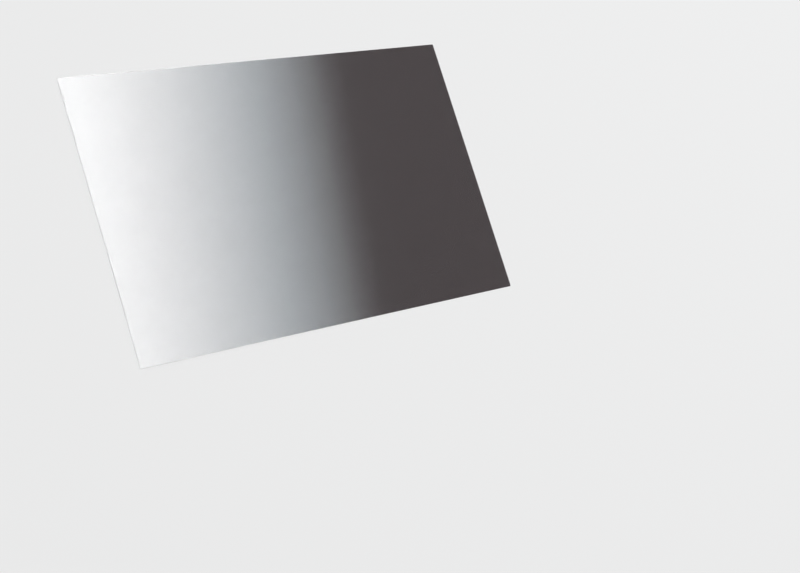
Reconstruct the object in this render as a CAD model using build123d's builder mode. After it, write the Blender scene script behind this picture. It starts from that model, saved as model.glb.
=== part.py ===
from build123d import *
import os

os.makedirs("parts", exist_ok=True)

# Driving dimensions, in millimetres.
sheet_width = 331.7  # left edge to right edge, across the louvres
sheet_height = 207.3  # bottom edge to top edge, along the louvres
sheet_thickness = 0.55  # rear face to front face, cover films and louvre film bonded together
corner_radius = 1.0  # the four corners of the cutting die
rim_roll = 0.12  # rounding that the die presses into the rim of the front face

# The sheet lies on its rear face. The origin is at the middle of that face, +X runs to the right edge,
# +Y to the top edge, and +Z out of the front face.
with BuildPart() as filter_sheet:
    with BuildSketch() as die_outline:
        RectangleRounded(sheet_width, sheet_height, corner_radius)
    extrude(amount=sheet_thickness)
    front_face = filter_sheet.faces().sort_by(Axis.Z)[-1]
    fillet(front_face.edges(), radius=rim_roll)

filter_sheet.part.label = "filter_sheet"
export_step(filter_sheet.part, "parts/filter_sheet.step")
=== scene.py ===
# %% [markdown]
# # A privacy filter
#
# The real object is one thin sheet of plastic. Thousands of black louvres stand on edge inside it, like the
# slats of a blind, too fine to tell apart. Light that goes straight through passes between them, and light
# that comes at a slant ends on them. So the sheet is clear from in front and goes dark towards the side, and
# on one wide sheet, seen from near by, both show at once.
#
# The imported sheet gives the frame: its size, its place and its outline. This lesson adds what the eye sees
# in it.

import bpy
import numpy as np
from mathutils import Matrix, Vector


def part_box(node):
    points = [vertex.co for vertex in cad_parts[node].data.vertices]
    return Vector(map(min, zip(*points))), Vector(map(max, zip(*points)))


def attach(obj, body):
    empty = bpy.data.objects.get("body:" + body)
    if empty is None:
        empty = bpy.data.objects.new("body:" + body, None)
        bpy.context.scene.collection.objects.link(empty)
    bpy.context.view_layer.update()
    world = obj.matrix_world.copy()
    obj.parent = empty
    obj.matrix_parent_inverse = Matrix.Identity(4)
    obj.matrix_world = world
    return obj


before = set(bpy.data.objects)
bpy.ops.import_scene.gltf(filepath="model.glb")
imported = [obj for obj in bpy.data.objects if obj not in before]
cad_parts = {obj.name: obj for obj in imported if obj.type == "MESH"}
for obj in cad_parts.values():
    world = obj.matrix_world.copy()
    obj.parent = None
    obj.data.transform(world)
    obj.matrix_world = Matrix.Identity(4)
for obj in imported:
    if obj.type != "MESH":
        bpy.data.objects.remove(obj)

millimetres = 1000  # in a metre

scene = bpy.context.scene
scene.view_settings.view_transform = "Standard"
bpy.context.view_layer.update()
sheet_low, sheet_high = (np.array(corner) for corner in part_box("filter_sheet"))
sheet_size = sheet_high - sheet_low
front_height = sheet_high[2]
print("sheet in millimetres:", np.round(millimetres * sheet_size, 2))

# %% [markdown]
# ## The camera
#
# A camera could be turned by hand until the picture looks right. But a flat rectangle of known size says
# more: the four pixels at which its corners are seen fix the lens and the place of the camera at once. The
# sheet lies flat here, because nothing holds it up, so the camera looks down on it at the angle from which
# it is seen upright.

# %% Where the corners of the front face are seen
image_size = np.array([800, 573])
corner_pixels = {
    "bottom_left": (140.4, 368.7),
    "bottom_right": (511.3, 285.7),
    "top_right": (433.2, 44.3),
    "top_left": (56.6, 78.3),
}
corner_shares = {"bottom_left": (0, 0), "bottom_right": (1, 0), "top_right": (1, 1), "top_left": (0, 1)}


def on_front(across, up):
    """The point of the front face at these shares of its width and height."""
    return np.array([*(sheet_low[:2] + sheet_size[:2] * (across, up)), front_height])


front_corners = np.array([on_front(*corner_shares[name]) for name in corner_pixels])
seen_corners = np.array(list(corner_pixels.values()))
print("pixels from the left to the right corners:", np.ptp(seen_corners[:, 0]).round(1))


# %% Work the camera out of the corners
def solve_camera(points, pixels):
    """Focal length in pixels, rotation and place of the camera that sees flat points at these pixels.

    Each point (x, y) and its offset (u, v) from the middle of the picture, v upwards, obey
    (u, v, 1) ~ H (x, y, 1). Four corners give eight equations for H, so H is the null vector of their
    matrix. The columns of H are (-f a, -f b, c) for the first two axes of the sheet and for its origin as
    the camera sees them. Those two axes are square to each other, which gives f, and their cross product is
    the third.
    """
    offsets = (pixels - image_size / 2) * (1, -1)
    flat = np.column_stack([points[:, :2], np.ones(len(points))])
    none = np.zeros_like(flat)
    rows_u = np.hstack([flat, none, -offsets[:, :1] * flat])
    rows_v = np.hstack([none, flat, -offsets[:, 1:] * flat])
    h = np.linalg.svd(np.vstack([rows_u, rows_v]))[2][-1].reshape(3, 3)
    focal = np.sqrt(-(h[0, 0] * h[0, 1] + h[1, 0] * h[1, 1]) / (h[2, 0] * h[2, 1]))
    axes = h / np.array([[-focal], [-focal], [1]])
    axes /= -np.sign(axes[2, 2]) * np.sqrt(np.linalg.norm(axes[:, 0]) * np.linalg.norm(axes[:, 1]))
    left, _, right = np.linalg.svd(np.column_stack([axes[:, :2], np.cross(axes[:, 0], axes[:, 1])]))
    rotation = left @ right
    return focal, rotation.T, -rotation.T @ axes[:, 2] + (0, 0, points[0, 2])


focal_pixels, camera_turn, camera_place = solve_camera(front_corners, seen_corners)
print("focal length", round(focal_pixels), "pixels, camera at", np.round(camera_place, 3))

# %% Put the camera there
camera = bpy.data.objects.new("camera", bpy.data.cameras.new("camera"))
camera.data.lens = camera.data.sensor_width * focal_pixels / image_size[0]
camera.matrix_world = Matrix.Translation(camera_place) @ Matrix(camera_turn.tolist()).to_4x4()
scene.collection.objects.link(camera)
scene.camera = camera
print("lens", round(camera.data.lens, 2), "mm")

# %% [markdown]
# ## Shader maths as Python
#
# A material is a graph of nodes. Written node by node, even `1 - mask` takes four lines. This small class
# wraps an output socket, so that arithmetic on it adds the Math nodes by itself, and one method makes every
# other node.


# %% A socket that can be reckoned with
class Socket:
    """An output socket of a node tree, or the tree alone when there is no socket yet."""

    def __init__(self, tree, output=None):
        self.tree = tree
        self.output = output

    def node(self, kind, settings=None, sockets=None, output=0):
        """Adds a node of this kind: its settings first, then a value or a link for each named input."""
        made = self.tree.nodes.new("ShaderNode" + kind)
        for name, value in (settings or {}).items():
            setattr(made, name, value)
        for name, value in (sockets or {}).items():
            if isinstance(value, Socket):
                self.tree.links.new(value.output, made.inputs[name])
            else:
                made.inputs[name].default_value = value
        return Socket(self.tree, made.outputs[output] if made.outputs else None)

    def math(self, operation, first, second):
        """A Math node on two values, each a number or a socket."""
        return self.node("Math", {"operation": operation}, {0: first, 1: second})

    def __add__(self, other):
        return self.math("ADD", self, other)

    def __radd__(self, other):
        return self.math("ADD", other, self)

    def __sub__(self, other):
        return self.math("SUBTRACT", self, other)

    def __rsub__(self, other):
        return self.math("SUBTRACT", other, self)

    def __mul__(self, other):
        return self.math("MULTIPLY", self, other)

    def __rmul__(self, other):
        return self.math("MULTIPLY", other, self)

    def __lt__(self, other):
        return self.math("LESS_THAN", self, other)

    def __or__(self, other):
        return self.math("MAXIMUM", self, other)


# %% Colours, empty materials and meshes
colour_a, colour_b, colour_out = 6, 7, 2  # the Mix node's sockets for colours
square_corners = np.array([(-1, -1), (1, -1), (1, 1), (-1, 1)])
square_face = np.array([(0, 1, 2, 3)])


def grey(level):
    """A neutral colour of this level."""
    return (level, level, level, 1)


def blend(share, first, second, way="MIX"):
    """The first colour where the share is zero, and where it is one, the second or both multiplied."""
    settings = {"data_type": "RGBA", "blend_type": way}
    return share.node("Mix", settings, {"Factor": share, colour_a: first, colour_b: second}, colour_out)


def new_material(name):
    """An empty material and the start of its node tree."""
    material = bpy.data.materials.new(name)
    material.use_nodes = True
    material.node_tree.nodes.clear()
    return material, Socket(material.node_tree)


def new_mesh(name, points, faces):
    """An object at the origin whose mesh has these points and faces."""
    mesh = bpy.data.meshes.new(name)
    mesh.from_pydata(points.tolist(), [], faces.tolist())
    made = bpy.data.objects.new(name, mesh)
    scene.collection.objects.link(made)
    print(name, "has", len(points), "points and", len(faces), "faces")
    return made


# %% [markdown]
# ## The louvres
#
# In the real sheet the louvres are strips of black resin in clear resin, about a sixtieth of a millimetre
# thick: the film is shaved off a block of stacked layers. A painted shade could imitate what they do, but it
# would be wrong from every other side. So they are modelled, as slats at their true scale: then the sheet
# opens from in front and closes towards the side by itself.
#
# The louvres close at the slant whose tangent is the clear gap over the depth of a slat. They are laid a few
# degrees off the edge of the sheet, as in most such films, so that they make no ripples with a fine grid
# behind them.

# %% Sizes of the louvres, in metres
louvre_pitch = 0.13e-3
louvre_thickness = 0.016e-3
closing_slant = np.radians(35.0)
louvre_depth = (louvre_pitch - louvre_thickness) / np.tan(closing_slant)
louvre_middle = sheet_low[2] + sheet_size[2] / 2
louvre_turn = np.radians(-9.0)
louvre_across = np.array([np.cos(louvre_turn), np.sin(louvre_turn)])
louvre_along = np.array([-np.sin(louvre_turn), np.cos(louvre_turn)])
print("louvre depth in millimetres:", round(millimetres * louvre_depth, 3))

# %% The line that each louvre follows
louvre_inset = 0.1e-3
corner_radius = 1.0e-3
shortest_louvre = 2e-3


def louvre_lines():
    """Place across the louvres, and the two ends along them, of every louvre that crosses the sheet.

    A louvre lies on the line p = s a + u b, with a across the louvres and b along them. The outline is eight
    half planes n.p <= d, four sides and four cut corners, so u runs between the largest and the smallest of
    (d - s n.a) / n.b, over the planes where n.b is below and above zero.
    """
    diagonal = np.sqrt(0.5)
    normals = np.vstack([np.eye(2), -np.eye(2), diagonal * square_corners])
    half_width, half_height = sheet_size[:2] / 2
    corner_reach = diagonal * (half_width + half_height - 2 * corner_radius) + corner_radius
    limits = np.array([half_width, half_height] * 2 + [corner_reach] * len(square_corners)) - louvre_inset

    span = np.abs(louvre_across) @ sheet_size[:2]
    count = int(span / louvre_pitch)
    places = louvre_pitch * (np.arange(count) - (count - 1) / 2)
    slopes = normals @ louvre_along
    ends = (limits - places[:, None] * (normals @ louvre_across)) / slopes
    start = ends[:, slopes < 0].max(axis=1)
    stop = ends[:, slopes > 0].min(axis=1)
    long_enough = stop - start > shortest_louvre
    return places[long_enough], start[long_enough], stop[long_enough]


louvre_places, louvre_starts, louvre_stops = louvre_lines()
longest_louvre = np.max(louvre_stops - louvre_starts)
print(len(louvre_places), "louvres, the longest", round(millimetres * longest_louvre, 1), "mm")

# %% The lean of each louvre
# Each wave has its largest slope, its length in metres and the angle at which it starts.
lean_waves = ((0.0022, 0.031, 0.4), (0.0018, 0.0113, 2.1), (0.0015, 0.0052, 4.4))


def louvre_lean(places):
    """How far a louvre leans, as a slope: slow sines across the sheet, as stacked layers settle unevenly."""
    return sum(slope * np.sin(2 * np.pi * places / length + start) for slope, length, start in lean_waves)


louvre_leans = louvre_lean(louvre_places)
print("largest lean in degrees:", np.degrees(np.abs(louvre_leans).max()).round(2))


# %% Stand a slat on every line
def louvre_slats(places, starts, stops, leans):
    """A closed slat on each line: a thin upright rectangle carried from the line's start to its stop.

    A corner of the rectangle, w to the side and h above its middle, goes to the line's place plus w plus the
    lean times h across the louvres, to the start or the stop along them, and to h above the sheet's middle.
    """
    section = square_corners / 2 * (louvre_thickness, louvre_depth)
    side = places[:, None, None] + section[:, 0] + leans[:, None, None] * section[:, 1]
    ends = np.stack([starts, stops], axis=1)[:, :, None]
    flat = side[..., None] * louvre_across + ends[..., None] * louvre_along
    heights = np.broadcast_to(louvre_middle + section[:, 1], flat.shape[:-1])
    points = np.concatenate([flat, heights[..., None]], axis=-1).reshape(-1, 3)

    corners = len(section)
    ring = np.arange(corners)
    after = np.roll(ring, -1)
    walls = np.column_stack([after, ring, ring + corners, after + corners])
    caps = np.array([ring, ring[::-1] + corners])
    slat = np.vstack([walls, caps])
    first_points = 2 * corners * np.arange(len(places))
    faces = (slat + first_points[:, None, None]).reshape(-1, corners)
    return points, faces


louvre_points, louvre_faces = louvre_slats(louvre_places, louvre_starts, louvre_stops, louvre_leans)
louvres = new_mesh("louvres", louvre_points, louvre_faces)
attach(louvres, "root")

# %% [markdown]
# ## The louvres' ink
#
# The strips are resin full of soot. It is nearly black, with a trace of brown, and dull, because a louvre
# that shone would send stray light on. One flat colour would do for the eye, but soot never spreads quite
# evenly: it lies in streaks along the strips. A Mapping node turns a noise with the louvres and draws it out
# along them.

# %% Colours of the ink
ink_thin = (0.062, 0.041, 0.045, 1)
ink_dense = (0.048, 0.031, 0.034, 1)
ink_roughness = 0.85
ink_shine = 0.2
streak_width = 0.002
streak_length = 0.040


# %% Black resin
def louvre_ink():
    """Dull black with a warm trace, from thin to dense in streaks along the louvres."""
    material, start = new_material("louvre_ink")
    place = start.node("TexCoord", output="Object")
    drawn_out = start.node("Mapping", {"vector_type": "TEXTURE"}, {
        "Vector": place,
        "Rotation": (0, 0, louvre_turn),
        "Scale": (streak_width, streak_length, streak_width),
    })
    soot = start.node("TexNoise", sockets={"Vector": drawn_out, "Scale": 1.0, "Detail": 1.0})
    ink = start.node("BsdfPrincipled", sockets={
        "Base Color": blend(soot, ink_thin, ink_dense),
        "Roughness": ink_roughness,
        "Specular IOR Level": ink_shine,
    })
    start.node("OutputMaterial", sockets={"Surface": ink})
    return material


louvres.data.materials.append(louvre_ink())
print("louvres are of", louvres.data.materials[0].name)

# %% [markdown]
# ## The clear film
#
# Two clear cover films are bonded over the louvres. Their face is satin: it mirrors a softened image of the
# lamp, more at a slant, as all plastic does, and it scatters a little light as haze. Glass in Blender would
# also bend the light, but a film this thin hardly moves what is behind it. So the film is a Transparent
# shader that gives way to a Glossy one by Fresnel's share, and only on the way in: the Backfacing output
# leaves the far face clear.
#
# No satin is the same all over. The coating ripples slowly, which varies its roughness, and its pits are
# fine and uneven, so the share that it mirrors varies from spot to spot. The rim that the die cut is
# frosted, so it catches the light.

# %% Finish of the film
film_ior = 1.65
gloss_colour = (0.8, 0.8, 0.8, 1)
satin_roughness = 0.08
ripple_length = 0.012
ripple_depth = 0.02
grain_length = 0.3e-3
grain_depth = 0.9
noise_middle = 0.5
haze_share = 0.0135
haze_colour = (0.95, 0.62, 0.70, 1)
frost_share = 0.4
frost_colour = (0.9, 0.9, 0.9, 1)
rim_upright = 0.6


# %% Satin film
def cover_film():
    """Clear satin film: transparent, mirroring by Fresnel's share, slightly hazy, frosted on the cut rim."""
    material, start = new_material("cover_film")
    place = start.node("TexCoord", output="Object")
    facing = start.node("NewGeometry", output="Normal")
    outside = 1 - start.node("NewGeometry", output="Backfacing")
    upright = start.node("SeparateXYZ", sockets={"Vector": facing}, output="Z")
    rim = start.node("Math", {"operation": "ABSOLUTE"}, {0: upright}) < rim_upright

    ripple = start.node("TexNoise", sockets={"Vector": place, "Scale": 1 / ripple_length, "Detail": 0.0})
    roughness = satin_roughness + ripple_depth * (ripple - noise_middle)
    grain = start.node("TexNoise", sockets={"Vector": place, "Scale": 1 / grain_length, "Detail": 0.0})
    smoothness = 1 + grain_depth * (grain - noise_middle)

    clear = start.node("BsdfTransparent")
    gloss = start.node("BsdfGlossy", sockets={"Color": gloss_colour, "Roughness": roughness})
    haze = start.node("BsdfDiffuse", sockets={"Color": haze_colour})
    frost = start.node("BsdfDiffuse", sockets={"Color": frost_colour})
    mirror_share = outside * start.node("Fresnel", sockets={"IOR": film_ior}) * smoothness
    shiny = start.node("MixShader", sockets={0: mirror_share, 1: clear, 2: gloss})
    hazy = start.node("MixShader", sockets={0: haze_share * outside, 1: shiny, 2: haze})
    surface = start.node("MixShader", sockets={0: frost_share * (rim * outside), 1: hazy, 2: frost})
    start.node("OutputMaterial", sockets={"Surface": surface})
    return material


film_object = bpy.data.objects["filter_sheet"]
film_material = cover_film()
for slot in film_object.material_slots:
    slot.material = film_material
print("filter_sheet has", len(film_object.material_slots), "slot(s) of", film_material.name)

# %% [markdown]
# ## Floor and room
#
# The sheet lies on a plain pale floor in an empty room. A pale picture could come from stronger lamps, but
# those would also bleach the sheet. So the floor and the room are lit plainly, and only rays from the eye,
# straight or by way of a mirror or a clear film, see their full paleness. A share of the floor's own shade
# stays, and with it the shadow. The room is as pale as the floor is far from the lamp, so no line shows
# where they meet.

# %% How pale they are
floor_paleness = 0.85
own_shade_share = 0.15
room_light = 0.3
room_paleness = floor_paleness * (1 - own_shade_share + own_shade_share * room_light)
print("the room looks as pale as", round(room_paleness, 3))


def seen_by_eye(start):
    """One for a ray from the camera, a mirror image or a clear film, and zero for light on its way."""
    return (
        start.node("LightPath", output="Is Camera Ray")
        | start.node("LightPath", output="Is Glossy Ray")
        | start.node("LightPath", output="Is Transmission Ray")
    )


# %% Floor
floor_half_width = 30.0
floor_gap = 0.05e-3


def floor_paint():
    """Matt paint, which the eye sees mostly as its plain paleness."""
    material, start = new_material("floor_paint")
    paint = start.node("BsdfDiffuse", sockets={"Color": grey(floor_paleness)})
    plain = start.node("Emission", sockets={"Color": grey(floor_paleness), "Strength": 1.0})
    share = (1 - own_shade_share) * seen_by_eye(start)
    surface = start.node("MixShader", sockets={0: share, 1: paint, 2: plain})
    start.node("OutputMaterial", sockets={"Surface": surface})
    return material


floor_heights = np.full(len(square_corners), sheet_low[2] - floor_gap)
floor_points = np.column_stack([floor_half_width * square_corners, floor_heights])
floor = new_mesh("floor", floor_points, square_face)
floor.data.materials.append(floor_paint())

# %% Room
room = bpy.data.worlds.new("room")
room.use_nodes = True
room.node_tree.nodes.clear()
room_start = Socket(room.node_tree)
lit = room_start.node("Background", sockets={"Color": grey(1), "Strength": room_light})
seen = room_start.node("Background", sockets={"Color": grey(room_paleness), "Strength": 1.0})
mixed = room_start.node("MixShader", sockets={0: seen_by_eye(room_start), 1: lit, 2: seen})
room_start.node("OutputWorld", sockets={"Surface": mixed})
scene.world = room
print("the room lights at", room_light)

# %% [markdown]
# ## The large softbox
#
# One large softbox hangs over the sheet, with its tube at one end, so that it is brightest there and fades
# at the other until it is no brighter than the room. Where the cloth is dim it is a little cool. Its place
# follows from what it should do. A mirrored sight line leaves a point of the sheet as if it came straight
# from the camera's image below the sheet, so each point has its own place in the box. The left edge mirrors
# the bright end, and the line on which the louvres shut mirrors the dull end.

# %% A softbox that fades
box_colour = (0.965, 0.98, 0.988, 1)
tint_scale = 256 / 27  # makes the strongest tint one


def softbox_cloth(name, level, fade, bright_end, dull_end, dim_tint):
    """Glows at this level up to the bright end, then fades in a straight line to the room's paleness.

    A point's place on the way is its dot product with the direction of the fade. The tint of dim cloth goes
    by the glow times the cube of what the glow lacks: none at either end, and most at a quarter of the glow.
    """
    material, start = new_material(name)
    place = start.node("TexCoord", output="Object")
    way = start.node("VectorMath", {"operation": "DOT_PRODUCT"}, {0: place, 1: tuple(fade)}, "Value")
    glow = start.node("MapRange", sockets={"Value": way, "From Min": dull_end, "From Max": bright_end})
    lack = 1 - glow
    dimness = tint_scale * glow * lack * lack * lack
    colour = blend(glow, grey(room_paleness / level), box_colour)
    tinted = blend(dimness, colour, dim_tint, "MULTIPLY")
    cloth = start.node("Emission", sockets={"Color": tinted, "Strength": level})
    start.node("OutputMaterial", sockets={"Surface": cloth})
    return material


def hang_softbox(name, corners, cloth):
    """A flat softbox between these corners, out of the camera's sight."""
    softbox = new_mesh(name, corners, square_face)
    softbox.data.materials.append(cloth)
    softbox.visible_camera = False


# %% Where the sheet mirrors it
box_height = 2.0
box_margin = 0.25
dull_lead = 0.005


def mirrored(points):
    """Where sight lines that the front face mirrors at these points reach the height of the softbox.

    Each runs on from the camera's image through its point, by the rise to the box over the rise to the face.
    """
    image = camera_place * (1, 1, -1) + (0, 0, 2 * front_height)
    rise = (box_height - front_height) / (front_height - image[2])
    return points + (points - image) * rise


camera_across = louvre_across @ camera_place[:2]
closing_across = camera_across + (camera_place[2] - louvre_middle) * np.tan(closing_slant)
dull_point = np.array([*((closing_across - dull_lead) * louvre_across), front_height])
middle_of_left_edge = on_front(0, 0.5)
bright_end = louvre_across @ mirrored(middle_of_left_edge)[:2]
dull_end = louvre_across @ mirrored(dull_point)[:2]
print("louvres shut at", np.round(millimetres * closing_across, 1), "mm across")

# %% Cut its cloth and hang it
box_peak = 15.3
cool_tint = (0.965, 1.055, 1.10, 1)

box_reach = mirrored(front_corners)[:, :2] @ louvre_along
box_low = np.array([bright_end, box_reach.min()]) - box_margin
box_high = np.array([dull_end, box_reach.max() + box_margin])
box_shares = np.array([(0, 0), (0, 1), (1, 1), (1, 0)])
box_flat = (box_low + box_shares * (box_high - box_low)) @ np.array([louvre_across, louvre_along])
box_corners = np.column_stack([box_flat, np.full(len(box_flat), box_height)])
box_cloth = softbox_cloth("large_cloth", box_peak, (*louvre_across, 0), bright_end, dull_end, cool_tint)
hang_softbox("large_softbox", box_corners, box_cloth)
print("large softbox", np.round(box_high - box_low, 2), "m")

# %% [markdown]
# ## Two dim softboxes
#
# From low at the front right, or at the back left, the sheet would mirror nothing but the even room, and
# look like dull card. So a dim softbox stands upright on the far side of each of those views, bright at the
# foot and fading upwards. Both add little light, but the satin face shows each as a sheen that grows towards
# the far edge.


# %% Stand them at two corners of the room
def stand_softbox(name, towards, distance, half_width, foot, bright_height, top, peak):
    """An upright softbox, its middle so far off on the way to a corner of the room, square to that way."""
    aside = np.array([-towards[1], towards[0]])
    flat = distance * towards + half_width * np.outer(square_corners[:, 0], aside)
    heights = np.array([foot, foot, top, top])
    cloth = softbox_cloth(name + "_cloth", peak, (0, 0, 1), bright_height, top, grey(1))
    hang_softbox(name, np.column_stack([flat, heights]), cloth)


back_left = np.sqrt(0.5) * np.array([-1, 1])
stand_softbox(
    "back_softbox", back_left, distance=2.2, half_width=0.9,
    foot=0.45, bright_height=0.6, top=1.3, peak=2.2,
)
stand_softbox(
    "front_softbox", -back_left, distance=4.0, half_width=1.5,
    foot=0.5, bright_height=0.85, top=1.45, peak=1.4,
)
